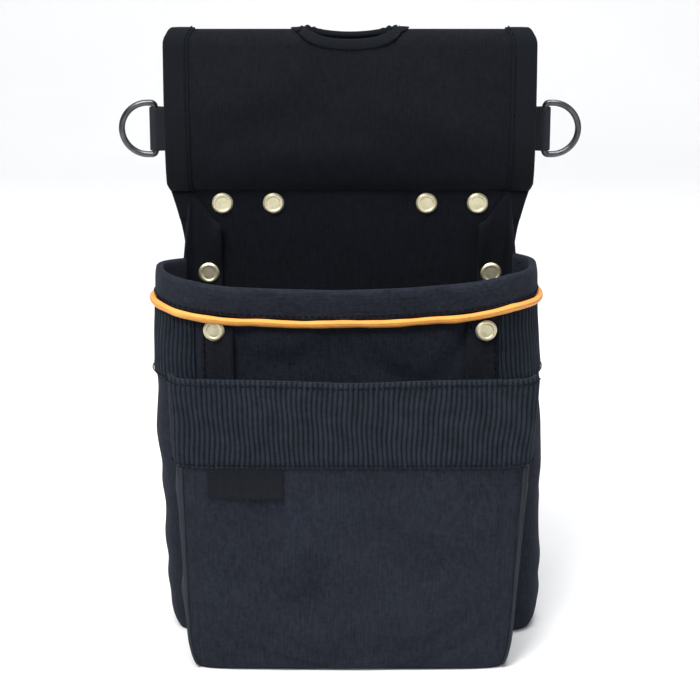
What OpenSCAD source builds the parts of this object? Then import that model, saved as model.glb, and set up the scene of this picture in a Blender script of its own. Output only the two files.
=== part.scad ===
// Electrician's tool pouch: a belt-worn bag of stiffened cloth with a main compartment,
// a front pocket, a belt tunnel folded at the top and a D-ring on each side.
// Frame: X to the wearer's side, -Y to the front pocket, +Z up. Origin at the centre of the base.

/* [Pouch] */
// Height from the base to the crest of the belt tunnel
pouch_h = 331; // [322:1:342]
// Depth from the front webbing to the rear rivet caps
pouch_d = 110; // [100:1:120]
// Width of the back panel across the belt tunnel
back_w = 198; // [180:1:210]
// Width of the back panel at the mouth of the bag
waist_w = 180; // [168:1:185]

/* [Belt tunnel] */
// Clear height of the tunnel above its rivet row
tunnel_h = 86; // [76:1:94]
// How far the front of the tunnel bows out from the rear
tunnel_bow = 19; // [14:0.5:24]
// Width of the hanging hole across the crest
cutout_w = 54; // [40:1:80]
// Depth of the hanging hole below the crest
cutout_drop = 4.5; // [4:0.5:10]

/* [Main bag] */
// Height of the mouth at its sides
mouth_z = 208; // [196:1:212]
// How much lower the mouth is at the middle of the front
mouth_sag = 9.5; // [0:0.5:16]
// Width of the bag at its mouth
mouth_w = 205; // [190:1:220]
// Width of the bag at its base
base_w = 207; // [190:1:208]
// How far each side of the bag swells out at half its height
side_swell = 2; // [0:0.5:3]
// Depth of the bag at its mouth
mouth_d = 58; // [50:1:64]
// Depth of the bag at its base
base_d = 53; // [45:1:58]

/* [Front pocket] */
// Height of the front pocket
pocket_h = 165; // [140:1:172]
// Width of the front pocket at its top
pocket_top_w = 191; // [170:1:196]
// Width of the front pocket at its base
pocket_base_w = 175; // [160:1:184]
// Height of the ribbed webbing
webbing_w = 48; // [38:1:50]

/* [Hardware] */
// Width of the webbing that a D-ring takes
ring_slot = 25; // [20:1:30]
// Thickness of the D-ring wire
wire_d = 3.4; // [2.5:0.1:4]
// Width of the rivet caps
cap_d = 11.5; // [9:0.5:13]

/* [Hidden] */
$fn = 48;

cloth = "#22262e";
tape = "#16181c";
ribbed = "#2b313b";
amber = "#f0a63a";
brass = "#dcd6ab";
gunmetal = "#3a3b3f";
label_grey = "#9a9da2";
board_grey = "#dedcd4";

cloth_t = 1.8;      // folded back cloth
wall_t = 1.7;       // bag and pocket walls
bottom_t = 2;       // bag and pocket bottoms
bottom_gap = 0.6;   // seam allowance between a bottom and its walls
core_t = 1.4;       // core board
cover_t = 1.4;      // cloth behind the core board
tape_t = 0.8;       // binding tape
webbing_t = 1.3;    // ribbed webbing
skin_gap = 0.15;    // air between two curved layers
cap_t = 1.6;        // rivet cap
post_r = 2;         // rivet post

// Layers of the back, from the rear forwards
loop_y = pouch_d / 2 - cap_t - cloth_t / 2;   // middle of the rear leg of the tunnel
cover_y = loop_y - cloth_t / 2;               // rear face of the back cover
core_y = cover_y - cover_t;                   // rear face of the core board
panel_y = core_y - core_t - cloth_t / 2;      // middle of the back panel
wall_y = panel_y - cloth_t / 2;               // face of the back panel inside the bag

// Levels of the back
crease_z = pouch_h - tunnel_h;                // foot of the tunnel
rivet_z = crease_z - 10;                      // row of rivets that closes the tunnel
loop_end_z = rivet_z - 12;                    // lower edge of the rear leg
fold_r = (loop_y - panel_y) / 2 + 5.5;        // radius of the fold at the crest
fold_z = pouch_h - fold_r - cloth_t / 2;
binding_w = 12.5;                             // width of the edge binding
flange_w = 19;                                // gusset flange sewn to the wall behind it
rim_h = 14;                                   // height of the mouth binding
piping_r = 2;

// Rivets, as [x, z]: four close the tunnel, two hold the bag's gussets, two the pocket's
tunnel_rivets = [for (x = [-70, -42, 42, 70]) [x, rivet_z]];
gusset_rivets = [for (x = [-78, 78]) [x, mouth_z - 12]];
strip_rivet_z = pocket_h + 14;

// D-ring and tab
ring_z = crease_z + 31;
ring_x = back_w / 2 + 7;

wire_r = wire_d / 2;
ring_r = (ring_slot + wire_d) / 2;            // half the height of the ring, on the wire's middle
ring_leg = 4;                                 // straight legs before the bow
ring_bend = 2.2;                              // bend between the bar and a leg
tab_h = ring_slot - 1.5;                      // width of the tab's webbing
tab_bore_r = wire_r + 0.25;                   // loop of the tab round the bar
tab_t = 1.2;                                  // tab webbing
ring_y = cover_y - tape_t - skin_gap - tab_t;

// ---------- shape functions ----------

function mix(a, b, t) = a + (b - a) * t;
function smooth(t) = let (c = min(max(t, 0), 1)) c * c * (3 - 2 * c);

// Point on a squared oval about the back wall: q runs from 0 at the left through 90 at the front to 180
function oval(q, half_w, depth, n) =
    let (r = pow(pow(abs(cos(q)) / half_w, n) + pow(abs(sin(q)) / depth, n), -1 / n))
    [-r * cos(q), r * sin(q)];

// Outer face of the main bag: narrows at the base and is drawn in where it meets the back
bag = function (q, z)
    let (t = pow(z / mouth_z, 1.2), tuck = 4 * exp(-z / 7),
         swell = side_swell * sin(180 * min(z / mouth_z, 1)),
         half_w = mix(base_w, mouth_w, t) / 2 + swell - tuck,
         p = oval(q, half_w, mix(base_d, mouth_d, t) - tuck, mix(8, 4.5, t)))
    [p.x * (1 - 0.13 * exp(-pow(p.y / 12, 2))), wall_y - p.y];

// Outer face of the front pocket
pocket_root_y = wall_y - base_d - 1;
pocket_depth = pocket_root_y + pouch_d / 2 - webbing_t - skin_gap;
pocket = function (q, z)
    let (t = z / pocket_h, tuck = 4 * exp(-z / 7),
         p = oval(q, mix(pocket_base_w, pocket_top_w, t) / 2 - tuck, pocket_depth - 1.5 * (1 - t) - tuck, 12))
    [p.x * (1 - 0.10 * exp(-pow(p.y / 10, 2))), pocket_root_y - p.y];

// Point at angle q and height z, pushed o outwards from a wall
function on(wall, q, z, o) =
    let (p = wall(q, z), d = wall(q + 0.5, z) - wall(q - 0.5, z), m = norm(d))
    [p.x + o * d.y / m, p.y - o * d.x / m, z];

// Angle at which a wall passes through x, left of the middle for a negative x
function angle_left(wall, x, z, lo, hi) =
    hi - lo < 0.02 ? (lo + hi) / 2
    : let (m = (lo + hi) / 2, left = wall(m, z).x < x)
        left ? angle_left(wall, x, z, m, hi) : angle_left(wall, x, z, lo, m);
function angle_at(wall, x, z) =
    x > 0 ? 180 - angle_left(wall, -x, z, 22, 90.02) : angle_left(wall, x, z, 22, 90.02);

// Heights of the two rims
function rim(q) = mouth_z - mouth_sag * pow(sin(q), 4);
function pocket_rim(q) = pocket_h - 2 * pow(sin(q), 4);

// Half width of the back at height z: it flares above the mouth, up to flare_z
flare_z = crease_z + 2;
function back_half_w(z) =
    z < mouth_z ? mix(waist_w / 2 + 2, waist_w / 2, z / mouth_z)
    : mix(waist_w / 2, back_w / 2, pow(min(1, (z - mouth_z) / (flare_z - mouth_z)), 1.5));

function bezier(a, b, c, d, n) = [for (i = [0:n]) let (t = i / n, s = 1 - t)
    s * s * s * a + 3 * s * s * t * b + 3 * s * t * t * c + t * t * t * d];
function arc(c, r, from, to, n) = [for (g = steps(from, to, n)) [c.x + r * cos(g), c.y + r * sin(g)]];
function steps(from, to, n) = [for (i = [0:n]) mix(from, to, i / n)];

// The back cloth's side view, as [y, z]: up the front of the tunnel, over the crest and down the rear
fold_y = loop_y - fold_r;
front_leg = concat(
    [[panel_y, 0]],
    bezier([panel_y, crease_z - 2], [loop_y - tunnel_bow - 2, crease_z + 4],
        [loop_y - tunnel_bow - 1, fold_z - 24], [fold_y - fold_r, fold_z], 14),
    [for (i = [1:6]) [fold_y - fold_r * cos(15 * i), fold_z + fold_r * sin(15 * i)]]);
back_line = concat(front_leg,
    [for (i = [5:-1:0]) [fold_y + fold_r * cos(15 * i), fold_z + fold_r * sin(15 * i)]],
    [[loop_y, loop_end_z]]);
crest = len(front_leg) - 1;
back_end = len(back_line) - 1;

// Polygon of thickness t about the back cloth's line, from one of its points to another
function back_strip(t, first = 0, last = back_end) =
    let (side = [for (i = [first:last])
        let (d = back_line[min(i + 1, back_end)] - back_line[max(i - 1, 0)]) [-d.y, d.x] / norm(d) * t / 2])
    concat([for (i = [first:last]) back_line[i] + side[i - first]],
        [for (i = [last:-1:first]) back_line[i] - side[i - first]]);

// Outline of the back, inset from its edge and cut level at its foot
function back_outline(inset, foot) =
    let (corner = 7,
         zs = concat([foot], foot < mouth_z ? [mouth_z] : [],
             [for (i = [1:8]) let (z = mix(mouth_z, flare_z, i / 8)) if (z > foot) z]),
         right = concat([for (z = zs) [back_half_w(z) - inset, z]],
             arc([back_w / 2 - corner, pouch_h - corner], corner - inset, 0, 90, 5)))
    concat(right, [for (i = [len(right) - 1:-1:0]) [-right[i].x, right[i].y]]);

// ---------- builders ----------

side_start = 3;                                                  // rear seam of a side, in degrees
side_steps = [0, 0.16, 0.32, 0.47, 0.6, 0.71, 0.8, 0.88, 0.94];  // along a side, closer at its corner

// Closed solid between two point grids of one size: cloth with its thickness
module sheet(a, b) {
    rows = len(a);
    cols = len(a[0]);
    n = rows * cols;
    function at(i, j) = i * cols + j;
    function quad(p, q, r, s) = [[p, q, r], [p, r, s]];
    faces = [
        for (i = [0:rows - 2], j = [0:cols - 2])
            each concat(quad(at(i, j), at(i, j + 1), at(i + 1, j + 1), at(i + 1, j)),
                quad(n + at(i, j), n + at(i + 1, j), n + at(i + 1, j + 1), n + at(i, j + 1))),
        for (i = [0:rows - 2])
            each concat(quad(at(i, 0), at(i + 1, 0), n + at(i + 1, 0), n + at(i, 0)),
                quad(at(i, cols - 1), n + at(i, cols - 1), n + at(i + 1, cols - 1), at(i + 1, cols - 1))),
        for (j = [0:cols - 2])
            each concat(quad(at(0, j), n + at(0, j), n + at(0, j + 1), at(0, j + 1)),
                quad(at(rows - 1, j), at(rows - 1, j + 1), n + at(rows - 1, j + 1), n + at(rows - 1, j)))
    ];
    polyhedron(points = [for (g = [a, b]) for (row = g) each row], faces = faces);
}

// Upright lines of a curtain: inner point, outer point and top, all as functions of height or fixed
function wall_column(wall, q, inner, outer, top) =
    [function (z) on(wall, q, z, inner), function (z) on(wall, q, z, outer), top];
// The side of a wall, f of the way from its rear seam round the corner to x
function side_column(wall, f, x, inner, outer, top) =
    [function (z) on(wall, mix(side_start, angle_at(wall, x, z), f), z, inner),
     function (z) on(wall, mix(side_start, angle_at(wall, x, z), f), z, outer), top];
function x_column(wall, x, inner, outer, top) =
    [function (z) on(wall, angle_at(wall, x, z), z, inner),
     function (z) on(wall, angle_at(wall, x, z), z, outer), top];
function flange_column(x, top) =
    [function (z) [x, wall_y - skin_gap - wall_t, z], function (z) [x, wall_y - skin_gap, z], top];

// A hanging wall through its columns, its rows closer together near the foot
module curtain(columns, rows, foot = 0, crowd = 1.6) {
    grid = function (side) [for (i = [0:rows]) [for (c = columns)
        let (f = c[side]) f(mix(foot, c[2], pow(i / rows, crowd)))]];
    sheet(grid(0), grid(1));
}

// Tape folded over the rim of a wall: a profile of [o, drop] points, outer leg first, at each angle
module hem(wall, top, angles, outer, inner) {
    grid = function (profile) [for (p = profile) [for (q = angles) on(wall, q, top(q) + p.y, p.x + lift(q))]];
    sheet(grid(inner), grid(outer));
}

// A round cord through a list of points, its sections turned level with the wall
module cord(points, r, sides = 10) {
    last = len(points) - 1;
    rings = [for (i = [0:last])
        let (d = points[min(i + 1, last)] - points[max(i - 1, 0)], t = d / norm(d),
             a = abs(t.z) > 0.7 ? [0, 1, 0] : [0, 0, 1],
             u = cross(t, a) / norm(cross(t, a)), v = cross(t, u))
        [for (k = [0:sides - 1]) points[i] + r * (u * cos(360 * k / sides) + v * sin(360 * k / sides))]];
    polyhedron(points = [for (g = rings) each g], faces = concat(
        [[for (k = [0:sides - 1]) k]],
        [for (i = [0:last - 1], k = [0:sides - 1]) let (m = (k + 1) % sides)
            each [[i * sides + k, (i + 1) * sides + k, (i + 1) * sides + m],
                  [i * sides + k, (i + 1) * sides + m, i * sides + m]]],
        [[for (k = [sides - 1:-1:0]) last * sides + k]]));
}

// A plate standing in the plane of X and Z, between two depths
module plate(y0, y1) {
    translate([0, y1, 0]) rotate([90, 0, 0]) linear_extrude(y1 - y0) children();
}

// A profile of [y, z] points carried across the whole width
module across(profile) {
    translate([-back_w, 0, 0]) rotate([90, 0, 90]) linear_extrude(2 * back_w) polygon(profile);
}

// Stands its children on the back at [x, z] and depth y, facing forwards
module on_back(p, y) { translate([p.x, y, p.y]) rotate([90, 0, 0]) children(); }
module back_holes() {
    for (p = concat(tunnel_rivets, gusset_rivets)) on_back(p, pouch_d) cylinder(r = post_r, h = 2 * pouch_d);
}

// Stands its children on the front of the bag at a strip rivet, o outwards from the wall
module on_strip(o) {
    q = angle_at(bag, -strip_x, strip_rivet_z);
    p = on(bag, q, strip_rivet_z, o);
    n = on(bag, q, strip_rivet_z, o + 1) - p;
    for (side = [0, 1]) mirror([side, 0, 0]) translate(p) rotate([90, 0, atan2(n.y, n.x) + 90]) children();
}
module strip_holes() { on_strip(-10) cylinder(r = post_r, h = 20); }

module both_sides(side) { mirror([side > 0 ? 1 : 0, 0, 0]) children(); }

// ---------- back and belt tunnel ----------

// The hanging hole through the fold, its axis tipped so that it opens lower at the front
cutout_r = (pow(cutout_w / 2, 2) + pow(cutout_drop, 2)) / 2 / cutout_drop;
cutout_tip = 8;
cutout_tape_w = 4.6;            // width of the binding round it
module hanging_hole(grow) {
    translate([0, fold_y, pouch_h - cutout_drop + cutout_r / cos(cutout_tip)]) rotate([90 + cutout_tip, 0, 0])
        cylinder(r = cutout_r + grow, h = pouch_d, center = true, $fn = 96);
}

module back_panel() {
    color(cloth) difference() {
        intersection() {
            across(back_strip(cloth_t, 0, crest));
            plate(-pouch_d, pouch_d) polygon(back_outline(0, 0));
        }
        hanging_hole(0);
        back_holes();
    }
}

module belt_loop_panel() {
    color(cloth) difference() {
        intersection() {
            across(back_strip(cloth_t, crest, back_end));
            plate(-pouch_d, pouch_d) polygon(back_outline(0, loop_end_z));
        }
        hanging_hole(0);
        back_holes();
    }
}

// A layer behind the back panel, up to the foot of the tunnel
module back_layer(inset, y0, y1) {
    difference() {
        intersection() {
            plate(y0, y1) polygon(back_outline(inset, inset));
            translate([-back_w, -pouch_d, 0]) cube([2 * back_w, 2 * pouch_d, crease_z - 4]);
        }
        back_holes();
    }
}
module back_cover() { color(cloth) back_layer(0, core_y, cover_y); }
module back_core_board() { color(board_grey) back_layer(3, core_y - core_t, core_y); }

// Tape folded round the side edge of the tunnel's cloth, with a layer on each face
module edge_binding(side) {
    edge = back_w / 2 - binding_w;
    color(tape) both_sides(side) difference() {
        intersection() {
            across(back_strip(cloth_t + 2 * tape_t));
            plate(-pouch_d, pouch_d) polygon(back_outline(-tape_t, crease_z + 1));
            translate([-back_w, -pouch_d, 0]) cube([back_w - edge, 2 * pouch_d, 2 * pouch_h]);
        }
        intersection() {
            across(back_strip(cloth_t));
            plate(-pouch_d, pouch_d) polygon(back_outline(0, 0));
        }
    }
}
module left_edge_binding() { edge_binding(-1); }
module right_edge_binding() { edge_binding(1); }

// The same tape round the hanging hole
module cutout_binding() {
    color(tape) difference() {
        intersection() {
            across(back_strip(cloth_t + 2 * tape_t));
            hanging_hole(cutout_tape_w);
        }
        difference() {
            across(back_strip(cloth_t));
            hanging_hole(0);
        }
        hanging_hole(-tape_t);
    }
}

// ---------- main bag ----------

strip_x = 72;                  // middle of the strip that joins gusset and front
strip_in = strip_x - 9.5;
strip_out = strip_x + 7;
strip_angle = angle_at(bag, -strip_in, mouth_z);

// How far the rim tape stands off the wall: it lies close at the side and front, and rides over the strip
side_angle = angle_at(bag, -strip_out - 1.5, mouth_z);
function lift(q) = let (c = min(q, 180 - q))
    0.35 + (wall_t - 0.1) * smooth((c - side_angle + 9) / 5) * (1 - smooth((c - strip_angle - 1) / 6));

module main_front_panel() {
    color(cloth) difference() {
        curtain([for (x = steps(-strip_out + 1, strip_out - 1, 14))
            x_column(bag, x, -wall_t, 0, rim(angle_at(bag, x, mouth_z)))], 8);
        strip_holes();
    }
}

module main_gusset(side) {
    color(cloth) both_sides(side) difference() {
        curtain(concat(
            [for (x = steps(flange_w - waist_w / 2, 2 - waist_w / 2, 3))
                flange_column(x, mix(crease_z - 2, crease_z - 20, smooth((x + waist_w / 2) / flange_w)))],
            [for (f = side_steps) side_column(bag, f, -strip_out - 3, -wall_t, 0, rim(f * 34))],
            [x_column(bag, -strip_out - 3, -wall_t, 0, rim(34))],
            [for (x = steps(-strip_out, -strip_in, 3))
                x_column(bag, x, skin_gap, skin_gap + wall_t - 0.2, rim(angle_at(bag, x, mouth_z)))]), 10);
        back_holes();
        strip_holes();
    }
}
module main_left_gusset() { main_gusset(-1); }
module main_right_gusset() { main_gusset(1); }

// Foot of a bag: the area inside its walls at the angles given
module bottom_of(wall, angles, y_max) {
    linear_extrude(bottom_t) polygon([for (q = angles)
        let (p = on(wall, q, 0, -wall_t - bottom_gap)) [p.x, min(p.y, y_max)]]);
}
module main_bottom() {
    color(cloth) bottom_of(bag, concat([1, 3, 8, 16, 22, 25, 27, 29, 31, 35], steps(50, 130, 4),
        [145, 149, 151, 153, 155, 158, 164, 172, 177, 179]), wall_y - wall_t - 0.5);
}

module side_webbing(side) {
    top = mouth_z - rim_h - 2 * piping_r - 1.3;
    color(ribbed) both_sides(side) curtain(
        concat([for (f = concat([0.06], side_steps)) if (f > 0)
                side_column(bag, f, -strip_out - 4, skin_gap, skin_gap + webbing_t, top)],
            [x_column(bag, -strip_out - 4, skin_gap, skin_gap + webbing_t, top)]),
        4, foot = top - 40, crowd = 1);
}
module left_side_webbing() { side_webbing(-1); }
module right_side_webbing() { side_webbing(1); }

// Stations along the rim, closer where it bends, and the same again for the right half
rim_left = [4, 6, 8, 10, 12.5, 15, 19, 23, 26, 28.5, 31, 34, 38, 43, 50, 60, 75];
rim_angles = concat(rim_left, [90], [for (i = [len(rim_left) - 1:-1:0]) 180 - rim_left[i]]);

module mouth_binding() {
    color(cloth) hem(bag, function (q) rim(q), rim_angles,
        [[tape_t, -rim_h], [tape_t, 0.3], [tape_t - 0.5, 1.3], [-0.4, 1.8]],
        [[0, -rim_h], [0, -0.2], [-0.2, 0.35], [-0.5, 0.6]]);
}
module mouth_piping() {
    color(amber) cord([for (q = rim_angles)
        on(bag, q, rim(q) - rim_h - piping_r - 0.1, lift(q) + piping_r)], piping_r);
}

// ---------- front pocket ----------

pocket_strip_x = pocket_base_w / 2 - 7.5;       // seam between the pocket's front and its gusset

module pocket_front_panel() {
    color(cloth) curtain([for (x = steps(-pocket_strip_x, pocket_strip_x, 14))
        x_column(pocket, x, -wall_t, 0, pocket_rim(angle_at(pocket, x, pocket_h)))], 8);
}

pocket_flange_o = 2.1;         // its flange stands this far off the bag, over the bag's strip
pocket_slope = 14;             // its sides come down this far from the front to the rear
module pocket_gusset(side) {
    front_x = -pocket_strip_x - 0.2;
    top = pocket_rim(20);
    color(cloth) both_sides(side) curtain(concat(
        [for (x = [-66, -74, -80])
            x_column(bag, x, pocket_flange_o, pocket_flange_o + wall_t, top - pocket_slope)],
        [for (f = concat([0.08], side_steps)) if (f > 0)
            side_column(pocket, f, front_x, -wall_t, 0, top - pocket_slope * (1 - smooth(f / 0.7)))],
        [x_column(pocket, front_x, -wall_t, 0, top)]), 10);
}
module pocket_left_gusset() { pocket_gusset(-1); }
module pocket_right_gusset() { pocket_gusset(1); }

module pocket_bottom() {
    color(cloth) bottom_of(pocket, concat([1, 4, 10, 18, 22, 24, 25, 26, 27, 28, 30, 34], steps(50, 130, 4),
        [146, 150, 152, 153, 154, 155, 156, 158, 162, 170, 176, 179]), pocket_root_y - 2.5);
}

module pocket_webbing() {
    top = pocket_h + 0.4;
    a = [19, 22, 24.5, 26, 27.5, 30, 34, 42, 55, 72];
    color(ribbed) curtain([for (q = concat(a, [90], [for (i = [len(a) - 1:-1:0]) 180 - a[i]]))
        wall_column(pocket, q, skin_gap, skin_gap + webbing_t, pocket_rim(q) + 0.4)],
        4, foot = pocket_h - webbing_w, crowd = 1);
}

module pocket_piping(side) {
    r = 1.3;
    corner = 25.5;             // angle of the pocket's corner
    color(tape) both_sides(side)
        cord([for (z = steps(3, pocket_h - webbing_w - 1, 12)) on(pocket, corner, z, r + 0.1)], r, 8);
}
module pocket_left_piping() { pocket_piping(-1); }
module pocket_right_piping() { pocket_piping(1); }

module pocket_label() {
    top = pocket_h - webbing_w - 0.3;
    tall = 16;
    color(label_grey) curtain([for (x = steps(-74, -35, 4)) x_column(pocket, x, 0.2, 1, top)],
        2, foot = top - tall, crowd = 1);
}

// ---------- D-rings ----------

module ring_tab(side) {
    color(ribbed) both_sides(side) translate([-ring_x, ring_y, ring_z - tab_h / 2]) difference() {
        union() {
            cylinder(r = tab_bore_r + tab_t, h = tab_h);
            translate([0, -tab_t, 0]) cube([ring_x - back_w / 2 + binding_w + 6, 2 * tab_t, tab_h]);
        }
        translate([0, 0, -1]) cylinder(r = tab_bore_r, h = tab_h + 2);
    }
}
module left_ring_tab() { ring_tab(-1); }
module right_ring_tab() { ring_tab(1); }

// Wire bent to a D: a straight bar in the tab, two short legs and a half-round bow
module d_ring(side) {
    bar = ring_r - ring_bend;
    color(gunmetal) both_sides(side) translate([-ring_x, ring_y, ring_z]) {
        translate([0, 0, -bar]) cylinder(r = wire_r, h = 2 * bar);
        for (up = [0, 1]) mirror([0, 0, up]) {
            translate([-ring_bend, 0, bar]) rotate([90, 0, 0]) rotate_extrude(angle = 90)
                translate([ring_bend, 0]) circle(r = wire_r);
            translate([-ring_bend, 0, ring_r]) rotate([0, -90, 0])
                cylinder(r = wire_r, h = ring_leg - ring_bend);
        }
        translate([-ring_leg, 0, 0]) rotate([90, 0, 0]) rotate_extrude(angle = 180, start = 90)
            translate([ring_r, 0]) circle(r = wire_r);
    }
}
module left_d_ring() { d_ring(-1); }
module right_d_ring() { d_ring(1); }

// ---------- rivets ----------

// A flat cap with a chamfered edge and a shallow dish inside its raised rim
module cap() {
    rotate_extrude() polygon([[0, 0], [cap_d / 2, 0], [cap_d / 2, 0.7], [cap_d / 2 - 0.9, cap_t],
        [cap_d / 2 - 1.7, cap_t], [cap_d / 2 - 2.2, cap_t - 0.3], [0, cap_t - 0.3]]);
}
module cap_pair(p, front_y, rear_y) {
    on_back(p, front_y) cap();
    on_back(p, rear_y) mirror([0, 0, 1]) cap();
}

flange_y = wall_y - skin_gap - wall_t;
rear_y = loop_y + cloth_t / 2;         // rear face of the tunnel's rear leg
strip_cap_out = skin_gap + wall_t;     // seats of the strip rivets' caps, outwards from the bag's wall
strip_cap_in = -wall_t - 0.7;

module rivet_caps() {
    color(brass) {
        for (p = tunnel_rivets) cap_pair(p, wall_y, rear_y);
        for (p = gusset_rivets) cap_pair(p, flange_y, cover_y);
        on_strip(strip_cap_out) cap();
        on_strip(strip_cap_in) mirror([0, 0, 1]) cap();
    }
}

module rivet_posts() {
    color(brass) {
        for (p = tunnel_rivets) on_back(p, rear_y) cylinder(r = post_r, h = rear_y - wall_y);
        for (p = gusset_rivets) on_back(p, cover_y) cylinder(r = post_r, h = cover_y - flange_y);
        on_strip(strip_cap_in) cylinder(r = post_r, h = strip_cap_out - strip_cap_in);
    }
}

back_panel();
belt_loop_panel();
back_cover();
back_core_board();
left_edge_binding();
right_edge_binding();
cutout_binding();
main_front_panel();
main_left_gusset();
main_right_gusset();
main_bottom();
left_side_webbing();
right_side_webbing();
mouth_binding();
mouth_piping();
pocket_front_panel();
pocket_left_gusset();
pocket_right_gusset();
pocket_bottom();
pocket_webbing();
pocket_left_piping();
pocket_right_piping();
pocket_label();
left_ring_tab();
right_ring_tab();
left_d_ring();
right_d_ring();
rivet_caps();
rivet_posts();
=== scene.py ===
"""Electrician's tool pouch: sewn cloth, tape, webbing and thread over the CAD frame.

Shapes are worked out in millimetres, in the frame's own axes, and become metres in make_mesh().
"""

import math

import bpy
import numpy as np
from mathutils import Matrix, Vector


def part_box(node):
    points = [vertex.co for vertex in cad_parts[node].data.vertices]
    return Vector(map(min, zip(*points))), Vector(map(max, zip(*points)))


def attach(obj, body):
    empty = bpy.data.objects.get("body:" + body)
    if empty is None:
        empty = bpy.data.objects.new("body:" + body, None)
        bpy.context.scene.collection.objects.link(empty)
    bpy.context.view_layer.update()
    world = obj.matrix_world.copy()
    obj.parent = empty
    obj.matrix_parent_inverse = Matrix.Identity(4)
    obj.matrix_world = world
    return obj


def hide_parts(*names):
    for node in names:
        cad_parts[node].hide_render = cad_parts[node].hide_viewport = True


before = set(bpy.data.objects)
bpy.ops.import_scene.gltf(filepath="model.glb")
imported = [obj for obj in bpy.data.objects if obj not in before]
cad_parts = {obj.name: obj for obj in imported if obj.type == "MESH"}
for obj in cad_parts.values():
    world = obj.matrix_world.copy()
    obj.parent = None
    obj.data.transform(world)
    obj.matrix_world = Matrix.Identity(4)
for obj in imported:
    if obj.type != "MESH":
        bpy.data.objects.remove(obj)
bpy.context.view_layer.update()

MM = 0.001
BODY = "pouch"


# ---------- sizes, from the frame ----------


def box_mm(node):
    return np.array(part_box(node)) / MM


back_high = box_mm("back_panel")[1]
cover_high = box_mm("back_cover")[1]
flange_high = box_mm("main_left_gusset")[1]
loop_low, loop_high = box_mm("belt_loop_panel")
strap_low, strap_high = box_mm("pocket_webbing")
side_low, side_high = box_mm("left_side_webbing")
tab_low, tab_high = box_mm("left_ring_tab")
label_low, label_high = box_mm("pocket_label")

CLOTH = 1.8          # folded back cloth
WALL = 1.7           # bag and pocket walls
TAPE = 0.8           # binding tape
WEBBING = 1.3        # ribbed webbing
AIR = 0.15           # between two layers

pouch_h = back_high[2]
back_w = back_high[0] * 2
wall_y = flange_high[1] + AIR
panel_y = wall_y + CLOTH / 2
loop_y = loop_high[1] - CLOTH / 2
cover_y = cover_high[1]
crease_z = cover_high[2] + 4
loop_end_z = loop_low[2]
mouth_z = 208.0                               # rim of the bag, at its sides
mouth_w, base_w, side_swell = 205.0, 207.0, 2.0
mouth_d, base_d = 58.0, 53.0
waist_w = 180.0                               # the back, beside the mouth
pocket_h = strap_high[2] - 0.4
pocket_top_w, pocket_base_w = 191.0, 175.0
webbing_w = pocket_h - strap_low[2]
pocket_slope = 14.0                           # fall of the pocket's sides towards the bag
pocket_root = wall_y - base_d - 1             # where the pocket starts, on the bag's front
pocket_depth = pocket_root - strap_low[1] - WEBBING - AIR
pocket_strip_x = pocket_base_w / 2 - 7.5      # seam of its front with its sides
corner_q = 25.5                               # angle of its front corner
label_h = 18.0
tunnel_bow = 19.0                             # how far the tunnel's front stands out
fold_r = (loop_y - panel_y) / 2 + 5.5
fold_y = loop_y - fold_r
fold_z = pouch_h - fold_r - CLOTH / 2
binding_w = 12.5
rivet_in_x, rivet_in_z = 78, mouth_z - 12     # rivets inside the mouth
flange_w = 19.0                               # the gusset's flange on the back
rim_h = 14.0
rim_side, rim_drop = 206.4, 7.4
strip_x = 72.0                                # the gusset's strip on the front
strip_in, strip_out = strip_x - 9.5, strip_x + 7
hole_w, hole_drop, hole_tip = 54.0, 4.5, math.radians(8)
hole_tape_w = 4.6
hole_r = ((hole_w / 2) ** 2 + hole_drop ** 2) / 2 / hole_drop
ring_bar_x = 106.0
foot_tuck, foot_round = 4, 7                  # how far the walls turn in at their foot, and its height
side_q = 3.0                                  # angle at which a side wall starts, beside the back

rng = np.random.default_rng(7)


# ---------- shape functions ----------


def mix(a, b, t):
    return a + (b - a) * t


def smooth(t):
    c = np.clip(t, 0, 1)
    return c * c * (3 - 2 * c)


def unit(v):
    return v / np.maximum(np.linalg.norm(v, axis=-1, keepdims=True), 1e-9)


def oval(q, half_w, depth, n):
    """Squared oval against the back: q is 0 at the left, 90 at the front, 180 at the right."""
    c, s = np.cos(np.radians(q)), np.sin(np.radians(q))
    r = ((np.abs(c) / half_w) ** n + (np.abs(s) / depth) ** n) ** (-1 / n)
    return -r * c, r * s


class Ripple:
    """Soft unevenness of cloth: a sum of waves with seeded directions, of about one unit in height."""

    def __init__(self, longest, count, stretch=(1, 1, 1)):
        lengths = longest * rng.uniform(0.35, 1.0, count)
        ways = unit(rng.normal(size=(count, 3))) * np.array(stretch)
        self.k = ways * (2 * math.pi / lengths)[:, None]
        self.phase = rng.uniform(0, 2 * math.pi, count)
        self.gain = (lengths / longest) / math.sqrt(count)

    def __call__(self, p):
        return (np.sin(p @ self.k.T + self.phase) * self.gain).sum(-1)


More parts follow.
